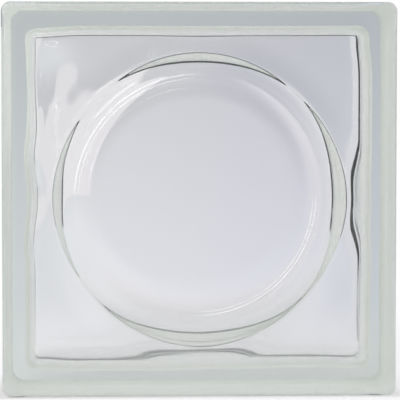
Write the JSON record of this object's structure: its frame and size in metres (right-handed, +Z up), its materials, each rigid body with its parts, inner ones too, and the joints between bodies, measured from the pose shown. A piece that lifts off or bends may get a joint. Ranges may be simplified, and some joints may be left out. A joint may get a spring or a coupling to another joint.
{
  "type": "hollow glass block",
  "caption": "Square hollow glass block of two fused clear halves, with a round dished relief inside both faces and a recessed mortar channel round its edge.",
  "frame": {"origin": "middle of the block's footprint, on the plane that its two lower flanges stand on", "axes": "+Z up; X along the width; +Y from the front face to the back face. Both faces are alike"},
  "size_m": [0.19, 0.08, 0.19],
  "materials": {
    "pressed_glass": "polished"
  },
  "bodies": {
    "root": {"front_half": "pressed_glass", "back_half": "pressed_glass"}
  },
  "joints": []
}
